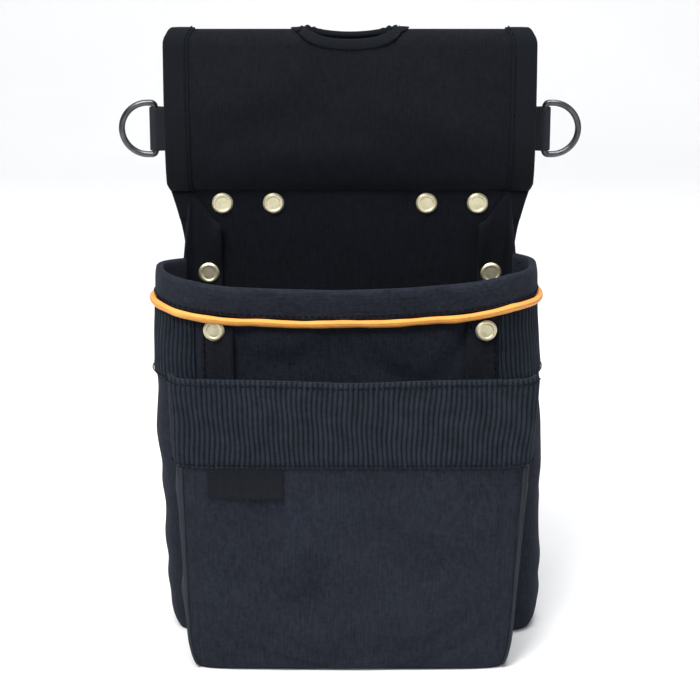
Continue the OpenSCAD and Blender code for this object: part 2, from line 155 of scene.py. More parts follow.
class Wall:
    """An upright wall of cloth, known at each angle q and height z, with its ripples."""

    def __init__(self, shape, swell):
        self.shape, self.swell = shape, swell

    def bare(self, q, z):
        q, z = np.broadcast_arrays(np.asarray(q, float), np.asarray(z, float))
        return self.shape(q, z)

    def normal(self, q, z):
        across = self.bare(q + 0.3, z) - self.bare(q - 0.3, z)
        up = self.bare(q, z + 0.3) - self.bare(q, z - 0.3)
        up[..., 2] = np.maximum(up[..., 2], 0.2)
        return unit(np.cross(across, up))

    def at(self, q, z, o=0.0):
        q, z, o = np.broadcast_arrays(*(np.asarray(a, float) for a in (q, z, o)))
        n = self.normal(q, z)
        p = self.bare(q, z)
        return p + n * (o + self.swell(q, z, p))[..., None]

    def angle(self, x, z):
        """The angle at which the wall passes through x on its front."""
        x, z = np.broadcast_arrays(np.asarray(x, float), np.asarray(z, float))
        lo, hi = np.full(x.shape, 22.0), np.full(x.shape, 90.02)
        for _ in range(22):
            m = (lo + hi) / 2
            at = self.bare(np.where(x > 0, 180 - m, m), z)[..., 0] * np.where(x > 0, -1, 1)
            outside = at < -np.abs(x)
            lo, hi = np.where(outside, m, lo), np.where(outside, hi, m)
        return np.where(x > 0, 180 - lo, lo)


def bag_shape(q, z):
    t = (np.maximum(z, 0) / mouth_z) ** 1.2
    tuck = foot_tuck * np.exp(-np.maximum(z, 0) / foot_round)
    swell = side_swell * np.sin(math.pi * np.clip(z / mouth_z, 0, 1))
    half_w = mix(base_w, mouth_w, t) / 2 + swell - tuck
    x, d = oval(q, half_w, mix(base_d, mouth_d, t) - tuck, mix(8, 4.5, t))
    lean = mix(2.4, -2.2, smooth(z / mouth_z)) * smooth(d / 30)
    pinch = 1 - 0.13 * np.exp(-((d / 12) ** 2))
    return np.stack([x * pinch + lean, wall_y - d, z], -1)


def pocket_shape(q, z):
    t = np.maximum(z, 0) / pocket_h
    tuck = foot_tuck * np.exp(-np.maximum(z, 0) / foot_round)
    half_w = mix(pocket_base_w, pocket_top_w, t) / 2 - tuck
    x, d = oval(q, half_w, pocket_depth - 1.5 * (1 - t) - tuck, 12)
    lean = 1.8 * smooth(z / pocket_h)
    pinch = 1 - 0.10 * np.exp(-((d / 10) ** 2))
    return np.stack([x * pinch + lean, pocket_root - d, z], -1)


class Folds:
    """Soft folds in a hanging cloth, each a curved ridge with a trough beside it.

    A row is (x, z, turn, long, wide, high, bend), with the turn in degrees.
    """

    def __init__(self, rows):
        self.rows = rows

    def __call__(self, x, z):
        out = 0.0
        for cx, cz, turn, long, wide, high, bend in self.rows:
            c, n = math.cos(math.radians(turn)), math.sin(math.radians(turn))
            u, v = (x - cx) * c + (z - cz) * n, -(x - cx) * n + (z - cz) * c
            v = (v - bend * (u / long) ** 2) / wide
            along = np.exp(-np.abs(u / long) ** 2.6)
            out = out + high * along * (np.exp(-v * v) - 0.75 * np.exp(-((v + 1.5) ** 2)))
        return out


def puckers(along, away, wave=7.0, deep=0.35, reach=9.0):
    """The small gathers that a row of stitches pulls into the cloth beside it."""
    gather = np.sin(2 * math.pi * along / wave + 1.7 * np.sin(along / 19))
    return deep * gather * np.exp(-np.maximum(away, 0) / reach)


pocket_folds = Folds([
    (-44, 52, 36, 40, 13, 4.4, 12), (4, 60, -30, 46, 14, 4.8, -12), (44, 36, 20, 40, 13, 4.2, 10),
    (-4, 24, -6, 44, 11, 2.6, 7), (-52, 92, 10, 34, 12, 1.8, -5), (42, 94, -22, 38, 13, 2.8, 7),
    (66, 70, 66, 30, 9, 1.8, 3)])
front_folds = Folds([
    (-30, 176, 14, 30, 9, 2.0, 4), (28, 170, -16, 30, 9, 2.2, -4), (52, 178, 60, 14, 7, 1.4, 0)])
side_folds = Folds([
    (20, 150, 12, 22, 8, 1.6, 5), (34, 112, -18, 24, 9, 1.8, -5), (16, 78, 16, 24, 8, 1.8, 5),
    (38, 52, -12, 22, 8, 1.5, 4), (22, 28, 10, 26, 7, 1.2, 3), (44, 134, 60, 26, 7, 1.0, 4)])
back_folds = Folds([
    (-52, 296, 18, 34, 12, 1.3, 5), (44, 284, -14, 38, 12, 1.5, -5), (4, 266, 4, 60, 10, 1.2, 4)])

bag_ripple = Ripple(70, 14, (1, 1, 0.6))
pocket_ripple = Ripple(80, 14, (1, 0.5, 1))


def bag_swell(q, z, p):
    hold = smooth(z / 18) * smooth((mouth_z - rim_h - 4 - z) / 14)
    turn = np.minimum(q, 180 - q)
    side = smooth((turn - 4) / 6) * (1 - smooth((turn - 26) / 7))
    mid = smooth((turn - 36) / 8)
    depth = wall_y - p[..., 1] + np.where(q > 90, 9, 0)
    on_side = side * side_folds(depth, z + np.where(q > 90, 11, 0))
    web = 1 - 0.85 * smooth((z - 148) / 8)
    fold = 0.55 * on_side * web + mid * front_folds(p[..., 0], z)
    return hold * (0.8 * bag_ripple(p) * (1 - 0.6 * mid) + fold)


def pocket_swell(q, z, p):
    x = p[..., 0]
    turn = np.minimum(q, 180 - q)
    hold = smooth(z / 20) * smooth((pocket_h - webbing_w + 6 - z) / 30) * smooth((turn - 8) / 8)
    full = 1.2 * np.sin(math.pi * np.clip(z / 115, 0, 1)) * np.sin(np.radians(q)) ** 6
    corner = smooth((np.abs(turn - corner_q) - 2) / 5)
    seam = smooth((turn - 27) / 2) * puckers(z, pocket_strip_x - np.abs(x))
    seam = seam + puckers(x, np.abs(pocket_h - webbing_w - z), 9.0, 0.3)
    side = (1 - smooth((turn - 18) / 5)) * 0.55 * side_folds(pocket_root - p[..., 1] + 6, z + 9)
    front = hold * (0.8 * pocket_ripple(p) + pocket_folds(x, z) + full + seam)
    return corner * (front + side * smooth(z / 15) * smooth((112 - z) / 14))


bag = Wall(bag_shape, bag_swell)
pocket = Wall(pocket_shape, pocket_swell)


def rim(q):
    """Height of the rim: it hangs lowest a little left of the middle."""
    x = bag_shape(np.asarray(q, float), np.full(np.shape(q), mouth_z))[..., 0]
    return rim_side - rim_drop * np.clip(1 - ((x + 12) / 96) ** 2, 0, 1) ** 0.9


def pocket_rim(q):
    return pocket_h - 2 * np.sin(np.radians(q)) ** 4


def back_half_w(z):
    low = mix(waist_w / 2 + 2, waist_w / 2, z / mouth_z)
    t = np.clip((z - mouth_z) / (crease_z + 2 - mouth_z), 0, 1)
    corner = 7.0
    round_off = corner - np.sqrt(np.maximum(corner ** 2 - np.maximum(z - (pouch_h - corner), 0) ** 2, 0))
    high = mix(waist_w / 2, back_w / 2, t ** 1.5)
    return np.where(z < mouth_z, low, high) - round_off * (z > pouch_h - corner)


# ---------- the back cloth's line, up the front of the tunnel and down its rear ----------


def back_line():
    b = [np.array(p, float) for p in (
        (panel_y, crease_z - 2), (loop_y - tunnel_bow - 2, crease_z + 4),
        (loop_y - tunnel_bow - 1, fold_z - 24), (fold_y - fold_r, fold_z))]
    t = np.linspace(0, 1, 60)[:, None]
    s = 1 - t
    bow = s ** 3 * b[0] + 3 * s * s * t * b[1] + 3 * s * t * t * b[2] + t ** 3 * b[3]
    g = np.radians(np.linspace(180, 0, 61))[1:]
    fold = np.stack([fold_y + fold_r * np.cos(g), fold_z + fold_r * np.sin(g)], -1)
    return np.concatenate([[[panel_y, 0]], bow, fold, [[loop_y, loop_end_z]]])


class Line:
    """A line in the plane of Y and Z, known by its length from the foot."""

    def __init__(self, points):
        self.points = points
        self.s = np.concatenate([[0], np.cumsum(np.linalg.norm(np.diff(points, axis=0), axis=1))])
        self.length = self.s[-1]
        fine = np.linspace(0, self.length, 1200)
        yz = np.stack([np.interp(fine, self.s, points[:, k]) for k in (0, 1)], -1)
        d = unit(np.gradient(yz, axis=0))
        self.fine, self.yz, self.d = fine, yz, d

    def at(self, s):
        return np.stack([np.interp(s, self.fine, self.yz[:, k]) for k in (0, 1)], -1)

    def normal(self, s):
        """Outwards: away from the inside of the tunnel."""
        d = unit(np.stack([np.interp(s, self.fine, self.d[:, k]) for k in (0, 1)], -1))
        return np.stack([-d[..., 1], d[..., 0]], -1)


line = Line(back_line())
crest_s = float(line.fine[np.argmax(line.yz[:, 1])])
crease_s = float(np.interp(crease_z, line.yz[:600, 1], line.fine[:600]))
back_ripple = Ripple(90, 12, (1, 1, 0.8))


def back_at(x, s, o=0.0):
    """A point of the back cloth at x and length s, o out from its middle."""
    x, s, o = np.broadcast_arrays(*(np.asarray(a, float) for a in (x, s, o)))
    yz, n = line.at(s), line.normal(s)
    p = np.stack([x, yz[..., 0], yz[..., 1]], -1)
    bowed = smooth((s - crease_s - 4) / 30) * smooth((crest_s - 4 - s) / 20)
    wave = bowed * (0.8 * back_ripple(p) + back_folds(x, yz[..., 1]))
    return p + np.stack([np.zeros_like(x), n[..., 0], n[..., 1]], -1) * (o + wave)[..., None]


def hole_edge(x, front=True):
    """Length along the cloth at which the hanging hole's edge crosses x."""
    s = np.linspace(crest_s - 40, crest_s, 500) if front else np.linspace(crest_s + 40, crest_s, 500)
    yz = line.at(s)
    axis = np.array([math.cos(hole_tip), math.sin(hole_tip)])
    top = np.array([fold_y, pouch_h - hole_drop + hole_r / math.cos(hole_tip)])
    off = yz - top
    away = off[:, 0] * axis[1] - off[:, 1] * axis[0]
    d = np.sqrt(np.asarray(x, float)[..., None] ** 2 + away ** 2)
    inside = d < hole_r
    first = np.where(inside.any(-1), inside.argmax(-1), len(s) - 1)
    return s[first]


# ---------- meshes ----------


def make_mesh(name, verts, faces, uv=None, material=None):
    mesh = bpy.data.meshes.new(name)
    mesh.from_pydata((np.asarray(verts) * MM).tolist(), [], faces)
    if uv is not None:
        layer = mesh.uv_layers.new(name="weave")
        index = np.empty(len(mesh.loops), int)
        mesh.loops.foreach_get("vertex_index", index)
        layer.data.foreach_set("uv", (np.asarray(uv) * MM)[index].astype(np.float32).ravel())
    mesh.validate()
    mesh.polygons.foreach_set("use_smooth", [True] * len(mesh.polygons))
    if material:
        mesh.materials.append(material)
    obj = bpy.data.objects.new(name, mesh)
    bpy.context.scene.collection.objects.link(obj)
    return obj


def lengths(grid):
    """Lengths along both ways of a grid, in millimetres, taken along its middle lines."""
    a, b = grid.shape[0] // 2, grid.shape[1] // 2
    u = np.concatenate([[0], np.cumsum(np.linalg.norm(np.diff(grid[:, b], axis=0), axis=-1))])
    v = np.concatenate([[0], np.cumsum(np.linalg.norm(np.diff(grid[a], axis=0), axis=-1))])
    return np.stack(np.meshgrid(u, v, indexing="ij"), -1)


def grid_normals(grid):
    du, dv = np.gradient(grid, axis=0), np.gradient(grid, axis=1)
    return unit(np.cross(du, dv))


def round_about(a, u, v):
    """The directions at the angles a between u and v, for each station."""
    return np.cos(a)[None, :, None] * u[:, None] + np.sin(a)[None, :, None] * v[:, None]


def tube_faces(k):
    """Faces of a tube whose rings of points are the rows of k, with both its ends closed."""
    nxt = np.roll(k, -1, 1)
    faces = np.stack([k[:-1].ravel(), nxt[:-1].ravel(), nxt[1:].ravel(), k[1:].ravel()], -1).tolist()
    return faces + [k[0][::-1].tolist(), k[-1].tolist()]


def tube(name, path, radius, material, sides=10):
    """A round cord along a path; radius may vary along it."""
    path = np.asarray(path, float)
    n = len(path)
    d = unit(np.gradient(path, axis=0))
    u = unit(np.cross(d, np.broadcast_to(np.array((0, 0, 1), float), d.shape)))
    v = np.cross(d, u)
    a = np.linspace(0, 2 * math.pi, sides, endpoint=False)
    r = np.broadcast_to(np.asarray(radius, float), (n,))
    rings = path[:, None] + r[:, None, None] * round_about(a, u, v)
    along = np.concatenate([[0], np.cumsum(np.linalg.norm(np.diff(path, axis=0), axis=1))])
    uv = np.stack(np.broadcast_arrays(along[:, None], (a * r.mean())[None]), -1).reshape(-1, 2)
    k = np.arange(n * sides).reshape(n, sides)
    return make_mesh(name, rings.reshape(-1, 3), tube_faces(k), uv, material)


def resample(path, step):
    path = np.asarray(path, float)
    s = np.concatenate([[0], np.cumsum(np.linalg.norm(np.diff(path, axis=0), axis=1))])
    at = np.linspace(0, s[-1], max(2, int(round(s[-1] / step)) + 1))
    return np.stack([np.interp(at, s, path[:, k]) for k in range(path.shape[1])], -1)


THREAD_R, STITCH, STITCH_GAP = 0.34, 2.4, 1.0


def stitches(name, rows, material):
    """Rows of thread: a row is (path, normals), and a stitch is a short bead that arches over the cloth."""
    verts, faces = [], []
    sides, bends = 6, np.array([-0.15, 0.35, 0.42, 0.35, -0.15])
    a = np.linspace(0, 2 * math.pi, sides, endpoint=False)
    for path, normals in rows:
        both = resample(np.concatenate([path, np.broadcast_to(normals, np.shape(path))], 1), 0.5)
        s = np.concatenate([[0], np.cumsum(np.linalg.norm(np.diff(both[:, :3], axis=0), axis=1))])
        count = int(s[-1] // (STITCH + STITCH_GAP))
        spare = s[-1] - count * (STITCH + STITCH_GAP) + STITCH_GAP
        for c in range(count):
            at = spare / 2 + c * (STITCH + STITCH_GAP) + np.linspace(0, STITCH, 5)
            p = np.stack([np.interp(at, s, both[:, k]) for k in range(3)], -1)
            n = unit(np.stack([np.interp(at, s, both[:, k]) for k in (3, 4, 5)], -1))
            p = p + n * (bends * 0.7)[:, None]
            d = unit(np.gradient(p, axis=0))
            u = unit(np.cross(d, n))
            v = np.cross(d, u)
            r = THREAD_R * np.array([0.6, 1, 1, 1, 0.6])
            ring = p[:, None] + r[:, None, None] * round_about(a, u, v)
            base = len(verts) * 5 * sides
            verts.append(ring.reshape(-1, 3))
            faces += tube_faces(base + np.arange(5 * sides).reshape(5, sides))
    verts = np.concatenate(verts)
    uv = np.stack([verts[:, 0] + verts[:, 1], verts[:, 2]], -1)
    return make_mesh(name, verts, faces, uv, material)


# ---------- materials ----------


def material(name, build):
    m = bpy.data.materials.new(name)
    m.use_nodes = True
    nt = m.node_tree
    b = nt.nodes["Principled BSDF"]
    build(nt, b)
    return m


class Nodes:
    """Short names for the nodes that the materials are made of."""

    def __init__(self, nt):
        self.nt = nt

    def new(self, kind, **values):
        n = self.nt.nodes.new("ShaderNode" + kind)
        for key, value in values.items():
            setattr(n, key, value)
        return n

    def link(self, a, b):
        self.nt.links.new(a, b)

    def put(self, socket, value):
        if hasattr(value, "is_output"):
            self.link(value, socket)
        else:
            socket.default_value = value

    def math(self, op, a, b=0.0):
        n = self.new("Math", operation=op)
        self.put(n.inputs[0], a)
        self.put(n.inputs[1], b)
        return n.outputs[0]

    def add(self, a, *more):
        for b in more:
            a = self.math("ADD", a, b)
        return a

    def mul(self, a, b):
        return self.math("MULTIPLY", a, b)

    def wave(self, a):
        """Humps from 0 to 1, one for each unit of a."""
        return self.math("ABSOLUTE", self.math("SINE", self.mul(a, math.pi)))

    def uv(self):
        n = self.new("UVMap", uv_map="weave")
        s = self.new("SeparateXYZ")
        self.link(n.outputs["UV"], s.inputs[0])
        return s.outputs[0], s.outputs[1]

    def place(self):
        return self.new("TexCoord").outputs["Object"]

    def drawn_out(self, u, v, share):
        """A place on the cloth for noise that runs along v in streaks."""
        n = self.new("CombineXYZ")
        self.link(u, n.inputs[0])
        self.link(self.mul(v, share), n.inputs[1])
        return n.outputs[0]

    def noise(self, vector, scale, detail=3.0, rough=0.55):
        n = self.new("TexNoise")
        self.link(vector, n.inputs["Vector"])
        n.inputs["Scale"].default_value = scale
        n.inputs["Detail"].default_value = detail
        n.inputs["Roughness"].default_value = rough
        return n.outputs["Fac"]

    def ramp(self, fac, stops):
        n = self.new("ValToRGB")
        self.link(fac, n.inputs[0])
        ramp = n.color_ramp
        while len(ramp.elements) < len(stops):
            ramp.elements.new(0.5)
        for e, (at, colour) in zip(ramp.elements, stops):
            e.position = at
            e.color = (*colour, 1)
        return n.outputs["Color"]

    def blend(self, fac, a, b):
        n = self.new("Mix", data_type="RGBA")
        self.put(n.inputs[0], fac)
        for socket, value in ((n.inputs[6], a), (n.inputs[7], b)):
            self.put(socket, value if hasattr(value, "is_output") else (*value, 1))
        return n.outputs[2]

    def bump(self, height, deep):
        """A normal for a relief that is deep millimetres high."""
        n = self.new("Bump")
        n.inputs["Strength"].default_value = 1.0
        n.inputs["Distance"].default_value = deep * MM
        self.link(height, n.inputs["Height"])
        return n.outputs["Normal"]

    def weave(self, u, v, pitch):
        """Plain weave: threads over and under each other, one pitch apart, as a height from 0 to 1."""
        a = self.mul(u, 1 / (pitch * MM))
        b = self.mul(v, 1 / (pitch * MM))
        warp, weft = self.wave(a), self.wave(b)
        over = self.math("MODULO", self.add(self.math("FLOOR", a), self.math("FLOOR", b)), 2.0)
        over = self.math("ABSOLUTE", over)
        one = self.mul(over, self.mul(warp, self.math("POWER", weft, 0.5)))
        under = self.math("SUBTRACT", 1.0, over)
        other = self.mul(under, self.mul(weft, self.math("POWER", warp, 0.5)))
        return self.add(one, other)


def finish_look(b, rough, level, sheen=0.0, tint=(0.62, 0.70, 0.85)):
    """The constants of a cloth's shine."""
    if rough is not None:
        b.inputs["Roughness"].default_value = rough
    b.inputs["Specular IOR Level"].default_value = level
    b.inputs["Sheen Weight"].default_value = sheen
    b.inputs["Sheen Tint"].default_value = (*tint, 1)


def cloth(dark, light, relief=0.12):
    """Coarse coated nylon: a plain weave, uneven dye, faint dust and rubbing."""

    def build(nt, b):
        s = Nodes(nt)
        u, v = s.uv()
        where = s.place()
        woven = s.weave(u, v, 0.75)
        cloud = s.noise(where, 22, 4)
        slub = s.noise(where, 900, 2)
        grain = s.noise(where, 420, 3, 0.7)
        streak = s.noise(s.drawn_out(v, u, 0.12), 800, 3, 0.7)
        uneven = s.math("SUBTRACT", s.mul(s.add(streak, grain), 0.85), 0.55)
        tone = s.add(s.mul(cloud, 0.35), s.mul(woven, 0.25), uneven)
        colour = s.ramp(tone, [(0.2, dark), (0.85, light)])
        dust = s.ramp(s.noise(where, 60, 6, 0.7), [(0.62, (0, 0, 0)), (0.8, (1, 1, 1))])
        colour = s.blend(s.mul(dust, 0.10), colour, tuple(3.0 * c for c in light))
        s.link(colour, b.inputs["Base Color"])
        s.link(s.add(0.78, s.mul(cloud, 0.16)), b.inputs["Roughness"])
        s.link(s.bump(s.add(woven, s.mul(slub, 0.5)), relief), b.inputs["Normal"])
        finish_look(b, None, 0.08, 0.03)
        b.inputs["Sheen Roughness"].default_value = 0.5

    return build


def tape_cloth(dark, light):
    """Woven binding tape: a chevron twill across its length."""

    def build(nt, b):
        s = Nodes(nt)
        u, v = s.uv()
        where = s.place()
        zig = s.math("PINGPONG", s.mul(v, 1 / (2.2 * MM)), 1.0)
        rib = s.wave(s.add(s.mul(u, 1 / (1.1 * MM)), s.mul(zig, 1.4)))
        fuzz = s.noise(where, 1200, 2)
        cloud = s.noise(where, 30, 3)
        tone = s.add(s.mul(rib, 0.55), s.mul(s.add(fuzz, cloud), 0.25))
        s.link(s.ramp(tone, [(0.15, dark), (0.9, light)]), b.inputs["Base Color"])
        s.link(s.bump(s.add(rib, s.mul(fuzz, 0.4)), 0.22), b.inputs["Normal"])
        finish_look(b, 0.8, 0.06, 0.015, (0.6, 0.68, 0.82))

    return build


def webbing_cloth(dark, light):
    """Ribbed webbing: its ribs are in the mesh; fine picks cross each one. Its colour follows the ribs too,
    lighter on their crests and darker in the grooves: painted shade.
    """

    def build(nt, b):
        s = Nodes(nt)
        u, v = s.uv()
        where = s.place()
        pick = s.wave(s.mul(v, 1 / (0.85 * MM)))
        # rib matches the mesh's ribs: the darker grooves it gives the colour are painted shade
        rib = s.math("ABSOLUTE", s.math("COSINE", s.mul(u, math.pi / (RIB * MM))))
        fuzz = s.noise(where, 1000, 2)
        cloud = s.noise(where, 35, 4)
        blotch = s.noise(where, 110, 4, 0.7)
        tone = s.add(s.mul(rib, 0.46), s.mul(pick, 0.20), s.mul(s.add(fuzz, cloud), 0.16))
        tone = s.mul(tone, s.add(0.45, s.mul(blotch, 1.1)))
        s.link(s.ramp(tone, [(0.22, dark), (0.92, light)]), b.inputs["Base Color"])
        s.link(s.bump(s.add(pick, s.mul(fuzz, 0.6)), 0.14), b.inputs["Normal"])
        finish_look(b, 0.72, 0.08, 0.02, (0.65, 0.74, 0.88))

    return build


def piping_cloth(nt, b):
    """Covered cord: close satin threads wound round it, a little soiled."""
    s = Nodes(nt)
    u, v = s.uv()
    where = s.place()
    wind = s.wave(s.mul(s.add(u, s.mul(v, 0.6)), 1 / (0.7 * MM)))
    soil = s.noise(where, 45, 5, 0.65)
    tone = s.add(s.mul(wind, 0.35), s.mul(soil, 0.65))
    dark, mid, light = (0.50, 0.17, 0.016), (0.72, 0.29, 0.040), (0.80, 0.37, 0.075)
    s.link(s.ramp(tone, [(0.15, dark), (0.5, mid), (0.9, light)]), b.inputs["Base Color"])
    s.link(s.bump(wind, 0.12), b.inputs["Normal"])
    b.inputs["Roughness"].default_value = 0.6
    b.inputs["Sheen Weight"].default_value = 0.1


def thread(nt, b):
    """Sewing thread, a shade of the cloth."""
    s = Nodes(nt)
    where = s.place()
    dark, light = (0.0014, 0.0018, 0.0028), (0.0062, 0.0076, 0.0112)
    s.link(s.ramp(s.noise(where, 700, 2), [(0.3, dark), (0.7, light)]), b.inputs["Base Color"])
    s.link(s.bump(s.noise(where, 2500, 2), 0.1), b.inputs["Normal"])
    finish_look(b, 0.8, 0.06)


def metal(stops, spots, rough, spread, brushed, grain):
    """Metal rubbed brighter in spots, finely brushed."""

    def build(nt, b):
        s = Nodes(nt)
        where = s.place()
        s.link(s.ramp(s.noise(where, spots, 5, 0.6), stops), b.inputs["Base Color"])
        s.link(s.add(rough, s.mul(s.noise(where, brushed, 3), spread)), b.inputs["Roughness"])
        s.link(s.bump(s.noise(where, grain, 3), 0.02), b.inputs["Normal"])
        b.inputs["Metallic"].default_value = 1.0

    return build


def board(nt, b):
    """Grained plastic sheet."""
    s = Nodes(nt)
    where = s.place()
    dark, light = (0.012, 0.012, 0.013), (0.022, 0.022, 0.024)
    s.link(s.ramp(s.noise(where, 80, 4), [(0.3, dark), (0.7, light)]), b.inputs["Base Color"])
    s.link(s.bump(s.noise(where, 1500, 2), 0.03), b.inputs["Normal"])
    b.inputs["Roughness"].default_value = 0.5


RIB = 2.6            # pitch of the webbing's ribs
BODY_CLOTH = material("body_cloth", cloth((0.0040, 0.0049, 0.0076), (0.0166, 0.0196, 0.0286)))
# darker than the body cloth; on the gusset flanges it also stands for painted shade
BACK_CLOTH = material("back_cloth", cloth((0.0014, 0.0017, 0.0028), (0.0056, 0.0067, 0.0100), 0.10))
# a darker copy of the body cloth for the gussets' front strips: painted shade
STRIP_SHADE_CLOTH = material("strip_shade_cloth", cloth((0.0030, 0.0036, 0.0052), (0.0120, 0.0138, 0.0190)))
BINDING = material("binding_tape", tape_cloth((0.0012, 0.0015, 0.0021), (0.0078, 0.0093, 0.0124)))
RIBBED = material("ribbed_webbing", webbing_cloth((0.0006, 0.0009, 0.0016), (0.0172, 0.0228, 0.0335)))
PIPING = material("piping", piping_cloth)
LABEL = material("label", tape_cloth((0.0030, 0.0035, 0.0048), (0.0110, 0.0128, 0.0170)))
# lighter than the body cloth: partly the cord's own grey, partly a painted highlight along the pocket's
# corners
CORNER_GREY_AND_HIGHLIGHT = material("corner_cord", tape_cloth((0.008, 0.010, 0.013), (0.034, 0.039, 0.048)))
TAB_CLOTH = material("tab_webbing", tape_cloth((0.0055, 0.0063, 0.0080), (0.0300, 0.0335, 0.0400)))
THREAD = material("thread", thread)
PALE_BRASS = [(0.25, (0.62, 0.55, 0.34)), (0.5, (0.78, 0.72, 0.50)), (0.8, (0.84, 0.80, 0.62))]
BLACK_STEEL = [(0.3, (0.055, 0.055, 0.060)), (0.65, (0.105, 0.105, 0.112)), (0.85, (0.22, 0.22, 0.23))]
BRASS = material("rivet_brass", metal(PALE_BRASS, 260, 0.42, 0.2, 900, 1800))
RING = material("ring_metal", metal(BLACK_STEEL, 180, 0.24, 0.25, 1400, 2200))
BOARD = material("core_board", board)

for node, look in (("rivet_caps", BRASS), ("rivet_posts", BRASS), ("left_d_ring", RING),
                   ("right_d_ring", RING), ("back_core_board", BOARD)):
    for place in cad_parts[node].material_slots:
        place.material = look


SIDE_NAME = {-1: "left", 1: "right"}


def finish_piece(obj, slot, *nodes):
    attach(obj, BODY)
    if nodes:
        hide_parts(*nodes)


def finish_sheet(obj, flat, held, slot, *nodes, **more):
    """Finishes a sheet of cloth: attaches it to the body and hides its frame parts. Its flat size in
    millimetres is not used.
    """
    finish_piece(obj, slot, *nodes)


# ---------- folded tapes ----------


def tape_piece(name, path, width, node, closed=False):
    """Tape folded over an edge: path(u, o) is the line u in from it and o out of the cloth's middle."""
    half = CLOTH / 2 + 0.08 + TAPE
    turn = np.radians(np.linspace(90, -90, 9)[1:-1])
    profile = [(width, half - 0.1), (width - 0.5, half), (width * 0.7, half + 0.1),
               (width * 0.35, half + 0.1), (0.7, half)]
    profile += [(0.4 - math.cos(a) * half * 0.75, math.sin(a) * half) for a in turn]
    profile += [(0.7, -half), (width * 0.35, -half - 0.1), (width * 0.7, -half), (width, -half + 0.1)]
    grid = np.stack([path(u, o) for u, o in profile], 1)
    if closed:
        grid = np.concatenate([grid, grid[:1]], 0)
    out = path(width, half + 1) - path(width, half)
    flip = (grid_normals(grid)[3, 2] * out[3]).sum() < 0
    obj = masked_shell(name, grid, TAPE, BINDING, flip=flip)
    along, across = lengths(grid).max((0, 1))
    finish_sheet(obj, (across, along), "folded", "binding_tape", node)


# ---------- cloth that settles ----------


def settle(grid, held, slack, press, cap=3.0, last=16):
    """Lets a grid of cloth, cut a little too large, buckle between its held edges, and gives it back."""
    nu, nv = grid.shape[:2]
    k = np.arange(nu * nv).reshape(nu, nv)
    quads = np.stack([k[:-1, :-1], k[1:, :-1], k[1:, 1:], k[:-1, 1:]], -1).reshape(-1, 4)
    obj = make_mesh("settling", grid.reshape(-1, 3), quads.tolist())
    group = obj.vertex_groups.new(name="held")
    for weight in np.unique(held):
        group.add(np.flatnonzero(held.ravel() == weight).tolist(), float(weight), "REPLACE")
    cloth_mod = obj.modifiers.new("cloth", "CLOTH")
    feel = dict(quality=8, mass=0.25, tension_stiffness=20, compression_stiffness=20, shear_stiffness=8,
                bending_stiffness=0.4, air_damping=2, shrink_min=-slack, vertex_group_mass="held",
                use_pressure=True, uniform_pressure_force=press)
    for key, value in feel.items():
        setattr(cloth_mod.settings, key, value)
    cloth_mod.point_cache.frame_start, cloth_mod.point_cache.frame_end = 1, last
    scene = bpy.context.scene
    for frame_no in range(1, last + 1):
        scene.frame_set(frame_no)
    done = obj.evaluated_get(bpy.context.evaluated_depsgraph_get())
    co = np.empty(nu * nv * 3)
    done.data.vertices.foreach_get("co", co)
    scene.frame_set(1)
    bpy.data.objects.remove(obj)
    move = co.reshape(nu, nv, 3) / MM - grid
    far = np.linalg.norm(move, axis=-1, keepdims=True)
    return grid + move * (cap * np.tanh(far / cap) / np.maximum(far, 1e-6)) * (1 - held)[..., None]


def held_edges(shape, side=3, end=2):
    h = np.zeros(shape[:2])
    h[:end] = 1
    h[-end:] = 1
    h[:, :side] = 1
    h[:, -side:] = 1
    return h


# ---------- the back ----------


def columns(low, high, step):
    return np.linspace(low, high, int(round(abs(high - low) / step)) + 1)


def masked_shell(name, grid, thick, look, keep=None, flip=False, uv=None):
    """A cloth with both faces and a rounded rim round every open edge; keep says which quads are there."""
    n = grid_normals(grid) * (-1 if flip else 1)
    nu, nv = grid.shape[:2]
    uv = lengths(grid) if uv is None else uv
    keep = np.ones((nu - 1, nv - 1), bool) if keep is None else keep
    k = np.arange(nu * nv).reshape(nu, nv)
    quads = np.stack([k[:-1, :-1], k[1:, :-1], k[1:, 1:], k[:-1, 1:]], -1)[keep]
    if flip:
        quads = quads[:, ::-1]
    edges = np.stack([quads, np.roll(quads, -1, 1)], -1).reshape(-1, 2)
    total = nu * nv
    code, back = edges[:, 0] * total + edges[:, 1], edges[:, 1] * total + edges[:, 0]
    rim_edges = edges[~np.isin(code, back)]
    outer = grid.reshape(-1, 3)
    normals = n.reshape(-1, 3)
    inner = outer - normals * thick
    out = np.zeros_like(outer)
    way = outer[rim_edges[:, 1]] - outer[rim_edges[:, 0]]
    away = unit(np.cross(way, normals[rim_edges[:, 0]]))
    np.add.at(out, rim_edges[:, 0], away)
    np.add.at(out, rim_edges[:, 1], away)
    on_rim = np.unique(rim_edges)
    lip = (outer[on_rim] + inner[on_rim]) / 2 + unit(out[on_rim]) * thick * 0.4
    where = np.full(total, -1)
    where[on_rim] = 2 * total + np.arange(len(on_rim))
    a, b = rim_edges[:, 0], rim_edges[:, 1]
    faces = np.concatenate([
        quads, quads[:, ::-1] + total,
        np.stack([b, a, where[a], where[b]], -1),
        np.stack([where[b], where[a], a + total, b + total], -1)])
    verts = np.concatenate([outer, inner, lip])
    flat = uv.reshape(-1, 2)
    uvs = np.concatenate([flat, flat, flat[on_rim]])
    used = np.unique(faces)
    new = np.full(len(verts), -1)
    new[used] = np.arange(len(used))
    return make_mesh(name, verts[used], new[faces].tolist(), uvs[used], look)


